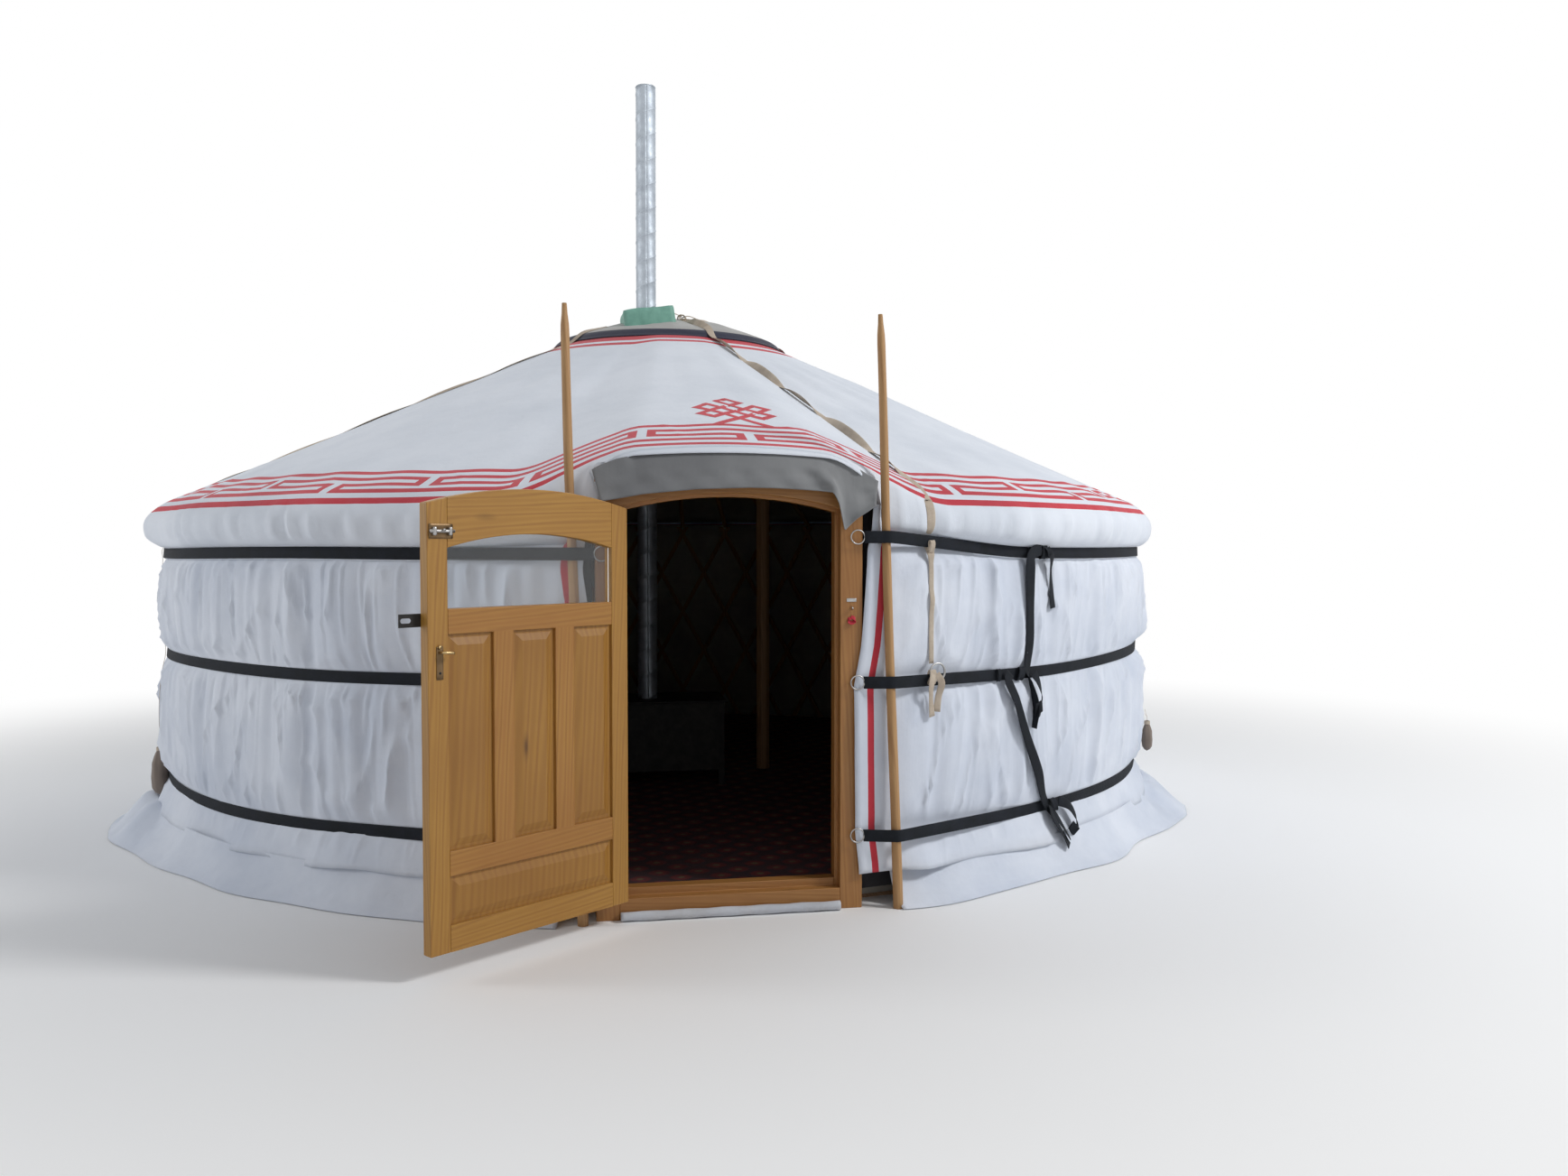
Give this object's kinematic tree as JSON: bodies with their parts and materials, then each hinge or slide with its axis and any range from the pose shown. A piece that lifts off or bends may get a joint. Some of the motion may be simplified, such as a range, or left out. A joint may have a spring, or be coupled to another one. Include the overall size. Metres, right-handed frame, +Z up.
{
  "type": "felt tent house",
  "caption": "Round lattice-walled felt and canvas tent house with a conical roof, a stovepipe and a hinged timber door standing open.",
  "frame": {"origin": "ground level at the centre of the round floor", "axes": "+Z up, -Y out through the doorway, +X to the right of somebody who faces the door from outside"},
  "size_m": [5.98, 6.4073, 4.163],
  "materials": {
    "frame_wood": "satin",
    "door_wood": "varnished",
    "floor_wood": "matt",
    "pole_wood": "matt",
    "rug": "matt",
    "glass": "clear",
    "steel_fittings": "satin",
    "bronze_fittings": "satin",
    "canvas": "matt",
    "crown_canvas": "matt",
    "grey_canvas": "matt",
    "green_metal": "satin",
    "zinc_steel": "satin",
    "stove_iron": "matt",
    "black_webbing": "matt",
    "beige_webbing": "matt"
  },
  "bodies": {
    "tent": {"band_bottom": "black_webbing", "band_middle": "black_webbing", "band_rings": "steel_fittings", "band_top": "black_webbing", "chimney_box": "green_metal", "chimney_pipe": "zinc_steel", "crown_cover": "crown_canvas", "crown_hub": "frame_wood", "crown_posts": "frame_wood", "crown_ribs": "frame_wood", "crown_ring": "frame_wood", "crown_straps": "beige_webbing", "door_head": "door_wood", "door_hood": "grey_canvas", "door_jamb_left": "door_wood", "door_jamb_right": "door_wood", "door_poles": "pole_wood", "door_sill": "door_wood", "floor_deck": "floor_wood", "floor_rug": "rug", "frame_hinges": "steel_fittings", "ground_skirt": "canvas", "latch_staple": "steel_fittings", "lattice_1": "frame_wood", "lattice_2": "frame_wood", "lattice_3": "frame_wood", "lattice_4": "frame_wood", "lattice_5": "frame_wood", "roof_cover_back": "canvas", "roof_cover_front": "canvas", "roof_cover_left": "canvas", "roof_cover_right": "canvas", "roof_poles": "frame_wood", "sill_roll": "canvas", "stove": "stove_iron", "wall_cover_1": "canvas", "wall_cover_2": "canvas", "wall_cover_3": "canvas", "wall_cover_4": "canvas", "wall_cover_5": "canvas"},
    "door_leaf": {"door_stile_hinge": "door_wood", "door_stile_latch": "door_wood", "door_top_rail": "door_wood", "door_bottom_rail": "door_wood", "door_middle_rails": "door_wood", "door_panels": "door_wood", "door_glass": "glass", "door_hinges": "steel_fittings", "door_handle": "steel_fittings", "door_bolt": "bronze_fittings", "door_hasp": "steel_fittings"}
  },
  "joints": [
    {"name": "door_hinge", "type": "hinge", "parent": "tent", "child": "door_leaf", "pos_m": [-0.443, -2.822, 0.09], "axis": [0, 0, 1], "range_deg": [-8, 142]}
  ]
}
